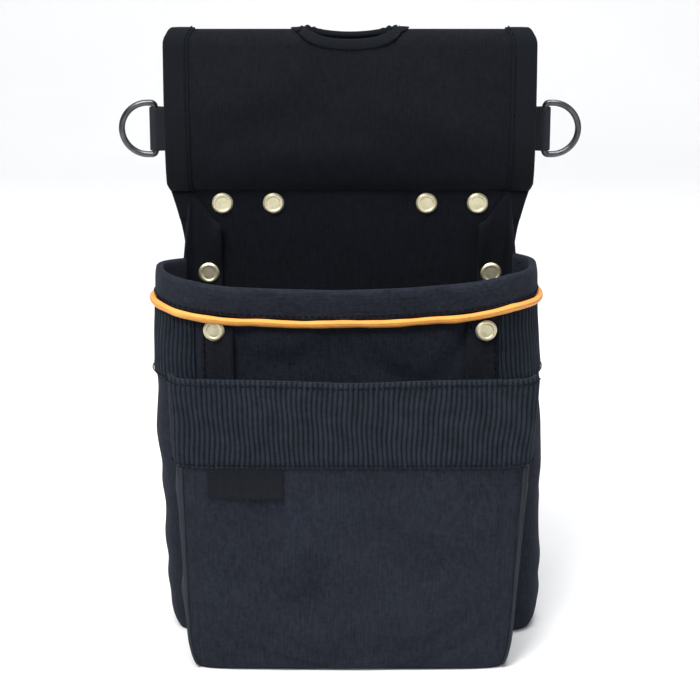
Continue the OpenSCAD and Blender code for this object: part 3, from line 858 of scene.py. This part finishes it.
hole_at = hole_w / 2
over_hole = np.sin(np.radians(np.linspace(-90, 90, 33)))
beside_hole = np.linspace(0, 1, 17)[1:]
shares = np.concatenate([-1 - beside_hole[::-1], over_hole, 1 + beside_hole])


def back_x(share, z):
    """x of a column: the middle ones keep their place, and the outer ones share the rest of the width."""
    outer = np.clip(np.abs(share) - 1, 0, 1)
    return np.clip(share, -1, 1) * hole_at + np.sign(share) * outer * (back_half_w(z) - hole_at)


def back_cloth():
    hole_x = np.clip(shares, -1, 1) * hole_at
    up = np.linspace(0, crease_s - 8, 44)[:-1]
    front_top = np.minimum(hole_edge(hole_x, True), crest_s - 0.4)
    rear_top = np.maximum(hole_edge(hole_x, False), crest_s + 0.4)
    s_rows = [np.full(len(shares), s) for s in up]
    s_rows += [mix(crease_s - 8, front_top, t) for t in np.linspace(0, 1, 56)]
    hole_row = len(s_rows) - 1
    s_rows += [mix(rear_top, line.length, t) for t in np.linspace(0, 1, 50)]
    s = np.stack(s_rows)
    x = np.stack([back_x(shares, line.at(row)[..., 1]) for row in s])
    grid = back_at(x, s, CLOTH / 2)
    keep = np.ones((s.shape[0] - 1, s.shape[1] - 1), bool)
    keep[hole_row] = np.abs(shares[:-1] + shares[1:]) / 2 > 1
    uv = np.stack([s, x], -1)
    obj = masked_shell("back_cloth", grid, CLOTH, BACK_CLOTH, keep, flip=True, uv=uv)
    finish_sheet(obj, (back_w, line.length), "folded", "back_cloth", "back_panel", "belt_loop_panel")


def edge_tape(side):
    s = columns(crease_s + 1, line.length - (crease_z + 1 - loop_end_z), 2.0)
    z = line.at(s)[:, 1]

    def path(u, o):
        return back_at(side * (back_half_w(z) - u), s, o)

    tape_piece(f"edge_tape_{SIDE_NAME[side]}", path, binding_w, f"{SIDE_NAME[side]}_edge_binding")


def hole_tape():
    g = np.radians(np.linspace(-90, 90, 61))
    x = np.sin(g) * hole_at
    front, rear = hole_edge(x, True), hole_edge(x[::-1], False)
    loop = np.concatenate([np.stack([x, front], -1), np.stack([x[::-1], rear], -1)[1:-1]])
    for _ in range(3):
        loop = (np.roll(loop, 1, 0) + 2 * loop + np.roll(loop, -1, 0)) / 4
    way = unit(np.roll(loop, -1, 0) - np.roll(loop, 1, 0))
    out = np.stack([way[:, 1], -way[:, 0]], -1)
    for _ in range(6):
        out = unit(np.roll(out, 1, 0) + out + np.roll(out, -1, 0))

    def path(u, o):
        x = loop[:, 0]
        bunch = 1.5 * np.exp(-(((np.abs(x) - 22) / 4.5) ** 2)) * (0.6 + 0.4 * np.sin(x * 1.9))
        return back_at(x + out[:, 0] * u, loop[:, 1] + out[:, 1] * u, o + bunch * (o > 0))

    tape_piece("hole_tape", path, hole_tape_w, "cutout_binding", closed=True)


def cover():
    """The cloth against the wearer: its sides and foot turn forwards and are sewn to the back cloth."""
    z = np.concatenate([np.linspace(0.3, 6, 9), columns(9, crease_z - 4.4, 4)])
    edge = np.array([0.972, 0.982, 0.99, 0.995, 1])
    share = np.concatenate([-edge[::-1], np.linspace(-0.96, 0.96, 61), edge])
    zz, tt = np.meshgrid(z, share, indexing="ij")
    half = back_half_w(zz) - 0.6
    x = tt * half
    away = np.minimum((1 - np.abs(tt)) * half, zz)
    y = mix(panel_y + CLOTH / 2 + 1.5, cover_y, smooth(away / 3.0 + 0.1))
    p = np.stack([x, y, zz], -1)
    hold = smooth((away - 3) / 12) * smooth((crease_z - 6 - zz) / 12)
    near = np.zeros_like(zz)
    for rivet_x in (-rivet_in_x, rivet_in_x):
        near = np.maximum(near, np.exp(-(((x - rivet_x) ** 2 + (zz - rivet_in_z) ** 2) / 90)))
    p[..., 1] += 0.25 * hold * (1 - near) * back_ripple(p) - 0.15
    obj = masked_shell("back_cover_cloth", p, 1.2, BACK_CLOTH)
    finish_sheet(obj, (back_w, crease_z - 4), "stretched", "back_cloth", "back_cover")


# ---------- bag and pocket ----------


def curtain(cols, tops, foot=0.4, step=3.0, power=1.3):
    """A wall's grid from its columns, functions of the heights z, and their tops."""
    t = np.linspace(0, 1, int(max(tops) / step)) ** power
    return np.stack([column(mix(foot, top, t)) for column, top in zip(cols, tops)], 1)


def front_panel(name, node, wall, half, top, held_from, slack, press):
    xs = columns(-half, half, 2.5)
    q_top = wall.angle(xs, np.full(len(xs), mouth_z if wall is bag else pocket_h))
    grid = curtain([lambda z, x=x: wall.at(wall.angle(x, z), z) for x in xs], top(q_top) - 0.3)
    held = held_edges(grid.shape)
    held[grid[..., 2] > held_from] = 1
    if wall is bag:
        held[(np.abs(grid[..., 0]) > strip_in - 4)] = 1
    grid = settle(grid, held, slack, press)
    obj = masked_shell(name, grid, WALL, BODY_CLOTH, flip=True)
    finish_sheet(obj, (lengths(grid)[..., 1].max(), top(q_top).mean()), "stretched", "body_cloth", node)


def soften(grid, passes, first, last):
    """Rounds the bends across the columns of a grid, between two of them."""
    g = grid.copy()
    for _ in range(passes):
        inner = (g[:, first - 1:last - 1] + 2 * g[:, first:last] + g[:, first + 1:last + 1]) / 4
        g[:, first:last] = inner
    return g


def mirrored(grid, side):
    return grid * np.array([1 if side < 0 else -1, 1, 1])


def main_gusset(side):
    def flange(x):
        def at(z):
            curl = 3.2 * smooth((x + waist_w / 2 - flange_w + 8) / 8) * smooth((z - 60) / 60)
            curl = curl * (1 - 0.8 * np.exp(-(((z - rivet_in_z) / 9) ** 2)))
            return np.stack([np.full_like(z, x), wall_y - AIR - curl, z], -1)
        return at

    def side_wall(f):
        def at(z):
            front = bag.angle(side * (strip_out + 3), z)
            q = mix(side_q if side < 0 else 180 - side_q, front, f)
            return mirrored(bag.at(q, z), side)
        return at

    def strip(x, o):
        def at(z):
            q = bag.angle(side * abs(x), z)
            free = smooth(z / 30) * smooth((mouth_z - rim_h - 8 - z) / 16)
            curl = 1.6 * smooth((x + strip_in + 7) / 7) * free
            return mirrored(bag.at(q, z, o + curl), side)
        return at

    cols, tops = [], []
    for x in columns(flange_w - waist_w / 2, 2 - waist_w / 2, 2):
        cols.append(flange(x))
        tops.append(mix(crease_z - 3, crease_z - 21, smooth((x + waist_w / 2) / flange_w)))
    for f in np.linspace(0, 1, 34):
        cols.append(side_wall(f))
        tops.append(float(rim(f * 34 if side < 0 else 180 - f * 34)) - 0.3)
    bend = len(cols)
    for x in columns(-strip_out, -strip_in, 1.8):
        cols.append(strip(x, AIR + WALL - 0.2))
        tops.append(float(rim(bag.angle(side * abs(x), mouth_z))) - 0.3)
    grid = mirrored(soften(curtain(cols, tops), 3, bend - 3, bend + 3), side)
    obj = masked_shell(f"gusset_{SIDE_NAME[side]}", grid, WALL, BODY_CLOTH, flip=side < 0)
    obj.data.materials.append(BACK_CLOTH)
    obj.data.materials.append(STRIP_SHADE_CLOTH)
    for face in obj.data.polygons:
        x, y, z = np.array(face.center) / MM
        # flange faces take the darker back cloth, which there is painted shade
        if y > wall_y - 7:
            face.material_index = 1
        # faces on the front strips take the darker strip cloth: painted shade
        elif abs(x) < strip_out + 0.5 and y < 20:
            face.material_index = 2
    flat = (lengths(grid)[..., 1].max(), mouth_z)
    finish_sheet(obj, flat, "stretched", "body_cloth", f"main_{SIDE_NAME[side]}_gusset")


def bottom(name, node, wall, y_max, root_inset=1.9):
    """The flat foot of a bag: cloth from wall to wall, and back to the cloth behind it."""
    q = np.concatenate([np.linspace(1, 20, 20), np.linspace(21, 36, 22), np.linspace(39, 89.5, 22)])
    left, right = wall.bare(q, 0.0 * q), wall.bare(180 - q, 0.0 * q)
    inset = root_inset + (WALL + 0.2 - root_inset) * smooth((q - 14) / 12)
    y = left[:, 1] + inset * smooth((q - 22) / 14)
    use = y < y_max - 0.3
    y = np.concatenate([[y_max], y[use]])
    x_left, x_right = left[use, 0] + inset[use], right[use, 0] - inset[use]
    left, right = np.concatenate([x_left[:1], x_left]), np.concatenate([x_right[:1], x_right])
    t = np.linspace(0, 1, 50)
    x = mix(left[:, None], right[:, None], t[None])
    grid = np.stack([x, np.broadcast_to(y[:, None], x.shape), np.full_like(x, 0.05)], -1)
    obj = masked_shell(name, grid, 1.8, BODY_CLOTH, flip=grid_normals(grid)[len(y) // 2, 20, 2] > 0)
    finish_sheet(obj, np.ptp(grid.reshape(-1, 3), axis=0)[:2], "stretched", "body_cloth", node)


def lift(q):
    """How far the rim cloth stands off the wall: over strips and webbing, then down onto the front."""
    c = np.minimum(q, 180 - q)
    side, front = (float(bag.angle(-x, mouth_z)) for x in (strip_out + 1.5, strip_in))
    return 0.35 + (WALL - 0.1) * smooth((c - side + 9) / 5) * (1 - smooth((c - front - 1) / 6))


def even_angles(wall, low, high, z, step):
    """Angles from low to high spaced evenly along the wall at height z, with their lengths."""
    q = np.linspace(low, high, 1600)
    p = wall.bare(q, np.full_like(q, z))
    s = np.concatenate([[0], np.cumsum(np.linalg.norm(np.diff(p, axis=0), axis=1))])
    at = np.linspace(0, s[-1], int(round(s[-1] / step)) + 1)
    return np.interp(at, s, q), at


rim_wave = Ripple(60, 8)


def rim_band():
    q, _ = even_angles(bag, side_q, 180 - side_q, mouth_z - 5, 1.6)
    base = lift(q)
    inside = -WALL - 0.35
    profile = [(0, -rim_h + 0.2), (0.15, -rim_h + 1.5), (0.25, -9), (0.45, -5), (0.4, -2), (0.1, 0.2)]
    turn = np.radians([25, 50, 75, 90, 105, 130, 155])
    legs = []
    for o, drop in profile:
        legs.append(bag.at(q, rim(q) + drop, base + TAPE + o + 0.25 * np.sin(q / 3.1 + drop / 7)))
    outer, inner = base + TAPE, np.full_like(q, inside - TAPE)
    mid, half = (outer + inner) / 2, (outer - inner) / 2
    for a in turn:
        legs.append(bag.at(q, rim(q) + 0.2 + 1.7 * math.sin(a), mid + half * math.cos(a)))
    for drop in (0.2, -3, -6, -9, -rim_h + 1):
        legs.append(bag.at(q, rim(q) + drop, inner - 0.1))
    grid = np.stack(legs, 1)
    grid[..., 2] += 0.35 * rim_wave(grid)
    obj = masked_shell("rim_band", grid, TAPE, BODY_CLOTH, flip=grid_normals(grid)[40, 2, 1] > 0)
    finish_sheet(obj, lengths(grid).max((0, 1)), "folded", "body_cloth", "mouth_binding")


def rim_piping():
    q, at = even_angles(bag, 2.5, 177.5, mouth_z - 5, 1.0)
    wobble = 0.22 * np.sin(at / 17) + 0.15 * np.sin(at / 7.3 + 1)
    path = bag.at(q, rim(q) - rim_h - 2.0 + wobble, lift(q) + 1.9)
    radius = 2.0 * (1 + 0.035 * np.sin(at / 5.1) + 0.03 * np.sin(at / 2.3 + 2))
    finish_piece(tube("rim_piping", path, radius, PIPING, sides=16), "piping", "mouth_piping")


def ribbed(name, node, wall, q_low, q_high, z_low, z_top, wave=0.5):
    """Webbing with upright ribs, laid round a wall; its ribs lean and wander a little."""
    q, u = even_angles(wall, q_low, q_high, (z_low + float(z_top(45.0))) / 2, RIB / 6)
    top = z_top(q)
    rows = 22
    t = np.linspace(0, 1, rows)
    z = mix(z_low + 0.0 * q, top, t[:, None])
    uu = np.broadcast_to(u, z.shape)
    lean = wave * np.sin(z / 13 + uu / 33) + 0.25 * np.sin(z / 4.1 + uu / 9)
    phase = uu + lean
    rib = np.abs(np.cos(math.pi * phase / RIB)) ** 0.7
    edge = smooth(np.minimum(t, 1 - t)[:, None] * rows / 2.0)
    pucker = 0.35 * pocket_ripple(np.stack([uu * 1.6, 0 * z, z * 1.6], -1)) * edge
    height = WEBBING - 0.75 + 0.8 * rib * (0.35 + 0.65 * edge) + pucker
    grid = wall.at(np.broadcast_to(q, z.shape), z, AIR + height)
    uv = np.stack([phase, z], -1)
    obj = masked_shell(name, grid, 0.5, RIBBED, flip=True, uv=uv)
    finish_sheet(obj, (u[-1], top.mean() - z_low), "stretched", "ribbed_webbing", node)


def pocket_gusset(side):
    def on_bag(x):
        def at(z):
            q = bag.angle(side * abs(x), z)
            out = unit(bag.normal(q, z) * np.array([1, 1, 0]))
            return mirrored(bag.bare(q, z) + out * (2.4 + WALL), side)
        return at

    def side_wall(f):
        def at(z):
            front = pocket.angle(side * (pocket_strip_x + 0.2), z)
            q = mix(side_q if side < 0 else 180 - side_q, front, f)
            return mirrored(pocket.at(q, z), side)
        return at

    cols = [on_bag(x) for x in (-66, -70, -74, -77, -80)]
    high = float(pocket_rim(20)) - 0.4
    tops = [high - pocket_slope] * len(cols)
    for f in np.linspace(0.06, 1, 40):
        cols.append(side_wall(f))
        tops.append(high - pocket_slope * (1 - smooth(f / 0.7)))
    grid = mirrored(curtain(cols, tops), side)
    obj = masked_shell(f"pocket_gusset_{SIDE_NAME[side]}", grid, WALL, BODY_CLOTH, flip=side < 0)
    flat = (lengths(grid)[..., 1].max(), pocket_h)
    finish_sheet(obj, flat, "stretched", "body_cloth", f"pocket_{SIDE_NAME[side]}_gusset")


def corner_cord(side):
    z = columns(2.5, pocket_h - webbing_w - 0.6, 1.5)
    q = np.full_like(z, corner_q if side < 0 else 180 - corner_q)
    path = pocket.at(q, z, 0.5 + 0.1 * np.sin(z / 5.0))
    obj = tube(f"corner_cord_{SIDE_NAME[side]}", path, 0.85 + 0.05 * np.sin(z / 2.1), CORNER_GREY_AND_HIGHLIGHT)
    finish_piece(obj, "binding_tape", f"pocket_{SIDE_NAME[side]}_piping")


def label():
    top = pocket_h - webbing_w + 2
    x = columns(label_low[0], label_high[0], 1.0)
    t = np.linspace(0, 1, 22)
    z = mix(top, label_low[2], t)
    zz, xx = np.meshgrid(z, x, indexing="ij")
    q = pocket.angle(xx, zz)
    tt = (top - zz) / (top - label_low[2])
    o = 0.75 + 0.9 * tt ** 2 * (0.7 + 0.3 * np.sin(xx / 9)) + 0.25 * np.sin(xx / 5) * tt
    grid = pocket.at(q, zz, o)
    obj = masked_shell("label", grid, 0.45, LABEL, flip=grid_normals(grid)[5, 5, 1] > 0)
    flat = (label_high[0] - label_low[0], label_h)
    finish_sheet(obj, flat, "hung", "label", "pocket_label", rests_on="pocket_band")


def ring_tab(side):
    """Webbing carried round the ring's bar, both its ends sewn inside the tunnel's edge."""
    cx, cy = -ring_bar_x, (tab_low[1] + tab_high[1]) / 2
    r = (tab_high[1] - tab_low[1]) / 2 - 0.05
    x_in = tab_high[0] - 0.3
    turn = np.radians(np.linspace(-62, -298, 25))
    loop = [(cx + r * math.cos(a), cy + r * math.sin(a)) for a in turn]
    front = [(x_in, cy - 1.25), (cx + 9, cy - 1.3), (cx + 6, cy - 1.45), (cx + 3.6, cy - 2.0)]
    rear = [(x, 2 * cy - y) for x, y in front[::-1]]
    path = resample(np.array(front + loop + rear), 0.7)
    z = columns(tab_low[2] + 0.2, tab_high[2] - 0.2, 0.65)
    zz = np.broadcast_to(z[:, None], (len(z), len(path)))
    grid = np.stack([np.broadcast_to(path[None, :, k], zz.shape) for k in (0, 1)] + [zz], -1).copy()
    grid = mirrored(grid, side)
    n = grid_normals(grid)[5, 2]
    obj = masked_shell(f"tab_{SIDE_NAME[side]}", grid, 1.05, TAB_CLOTH, flip=n[1] > 0)
    flat = (tab_high[2] - tab_low[2], lengths(grid)[..., 1].max())
    finish_sheet(obj, flat, "folded", "tab_webbing", f"{SIDE_NAME[side]}_ring_tab")


back_cloth()
cover()
for side in (-1, 1):
    edge_tape(side)
hole_tape()
under_rim = rim_side - rim_drop - rim_h - 6
front_panel("bag_front", "main_front_panel", bag, strip_out - 1, rim, under_rim, 0.002, 0.0)
for side in (-1, 1):
    main_gusset(side)
bottom("bag_bottom", "main_bottom", bag, wall_y - 0.3)
rim_band()
rim_piping()
side_top = side_high[2]
web_q = float(bag.angle(-strip_out - 4, side_top - 20))
for side, low, high in ((-1, 3.6, web_q), (1, 180 - web_q, 176.4)):
    name = SIDE_NAME[side]
    ribbed(f"side_webbing_{name}", f"{name}_side_webbing", bag, low, high, side_low[2],
           lambda q: 0 * q + side_top)
under_band = pocket_h - webbing_w - 2
front_panel("pocket_front", "pocket_front_panel", pocket, pocket_strip_x, pocket_rim, under_band,
            0.004, 0.1)
for side in (-1, 1):
    pocket_gusset(side)
    corner_cord(side)
bag_foot = bag.bare([90.0], [0.0])[0, 1]
bottom("pocket_bottom_cloth", "pocket_bottom", pocket, float(bag_foot) + 1.2, root_inset=-2.2)
ribbed("pocket_band", "pocket_webbing", pocket, 19, 161, pocket_h - webbing_w,
       lambda q: pocket_rim(q) + 0.4, wave=0.8)
label()
for side in (-1, 1):
    ring_tab(side)


# ---------- thread ----------


def row_on(wall, q, z, o):
    return wall.at(q, z, o), wall.normal(np.asarray(q, float), np.asarray(z, float))


def back_row(x, s, o):
    n = line.normal(s)
    return back_at(x, s, o), np.stack([np.zeros_like(s), n[..., 0], n[..., 1]], -1)


def flat_row(x, y, z, way):
    return np.stack(np.broadcast_arrays(x, y, z), -1), np.array([0, way, 0])


rows = []
q, _ = even_angles(bag, 4, 176, mouth_z - 5, 2)
rows.append(row_on(bag, q, rim(q) - rim_h + 2.0, lift(q) + TAPE + 0.35))
q, _ = even_angles(pocket, 19.5, 160.5, pocket_h - 20, 2)
rows.append(row_on(pocket, q, pocket_rim(q) - 2.2, AIR + WEBBING + 0.15))
rows.append(row_on(pocket, q, 0 * q + pocket_h - webbing_w + 1.6, AIR + WEBBING + 0.15))
for side in (-1, 1):
    q, _ = even_angles(bag, 4, web_q - 0.5, side_top - 20, 2)
    q = q if side < 0 else 180 - q
    rows.append(row_on(bag, q, 0 * q + side_low[2] + 1.6, AIR + WEBBING + 0.15))
    z = columns(pocket_h - 55, mouth_z - rim_h - 10, 3)
    for x in (strip_in + 1.8, strip_out - 1.5):
        rows.append(row_on(bag, bag.angle(side * x, z), z, AIR + WALL))
    s = columns(crease_s + 3, line.length - (crease_z + 3 - loop_end_z), 3)
    x = side * (back_half_w(line.at(s)[:, 1]) - binding_w + 1.6)
    rows.append(back_row(x, s, CLOTH / 2 + TAPE + 0.3))
    z = columns(8, crease_z - 10, 4)
    rows.append(flat_row(side * (back_half_w(z) - 4), cover_y + 0.15, z, 1.0))
    z = columns(mouth_z - 40, crease_z - 24, 3)
    rows.append(flat_row(side * (waist_w / 2 - flange_w + 2), wall_y - AIR - WALL - 0.1, z, -1.0))
x = columns(-back_w / 2 + 14, back_w / 2 - 14, 4)
rows.append(flat_row(x, loop_high[1] + 0.15, loop_end_z + 3, 1.0))
seam = stitches("seam_thread", rows, THREAD)
finish_piece(seam, "binding_tape")


# ---------- studio ----------


def studio():
    scene = bpy.context.scene
    scene.view_settings.view_transform = "Standard"
    world = bpy.data.worlds.new("studio")
    world.use_nodes = True
    world.node_tree.nodes["Background"].inputs["Color"].default_value = (0.93, 0.95, 1.0, 1)
    world.node_tree.nodes["Background"].inputs["Strength"].default_value = 0.30
    scene.world = world

    size, bend, tall = 3.0, 0.5, 2.2
    profile = [(-size, 0), (1.2, 0)]
    turn = np.radians(np.linspace(10, 90, 9))
    profile += [(1.2 + bend * math.sin(a), bend - bend * math.cos(a)) for a in turn]
    profile += [(1.2 + bend, tall)]
    verts = [(x, y, z) for y, z in profile for x in (-size, size)]
    faces = [(2 * i, 2 * i + 1, 2 * i + 3, 2 * i + 2) for i in range(len(profile) - 1)]
    floor = make_mesh("floor", np.array(verts) / MM, faces)

    def paper(nt, b):
        s = Nodes(nt)
        where = s.place()
        shades = [(0.3, (0.86, 0.86, 0.86)), (0.7, (0.89, 0.89, 0.89))]
        s.link(s.ramp(s.noise(where, 3, 2), shades), b.inputs["Base Color"])
        b.inputs["Roughness"].default_value = 0.9

    floor.data.materials.append(material("paper", paper))

    def lamp(name, place, aim, size, power, tint=(1, 1, 1)):
        data = bpy.data.lights.new(name, "AREA")
        data.shape = "RECTANGLE"
        data.size, data.size_y = size
        data.energy = power
        data.color = tint
        obj = bpy.data.objects.new(name, data)
        scene.collection.objects.link(obj)
        obj.location = place
        way = Vector(aim) - Vector(place)
        obj.rotation_euler = way.to_track_quat("-Z", "Y").to_euler()

    lamp("key", (-0.50, -0.80, 1.45), (0, 0, 0.15), (0.8, 0.6), 31)
    lamp("top", (0.15, -0.25, 1.7), (0, 0, 0.2), (0.8, 0.5), 24)
    lamp("fill", (1.1, -1.3, 0.7), (0, 0, 0.15), (1.0, 1.0), 6, (0.95, 0.97, 1.0))

    cam = bpy.data.cameras.new("camera")
    cam.lens, cam.sensor_width = 110, 36
    obj = bpy.data.objects.new("camera", cam)
    scene.collection.objects.link(obj)
    tip = math.radians(17)
    aim = Vector((0, 0, 0.165))
    obj.location = aim + 1.15 * Vector((0, -math.cos(tip), math.sin(tip)))
    obj.rotation_euler = (aim - obj.location).to_track_quat("-Z", "Y").to_euler()
    scene.camera = obj


studio()
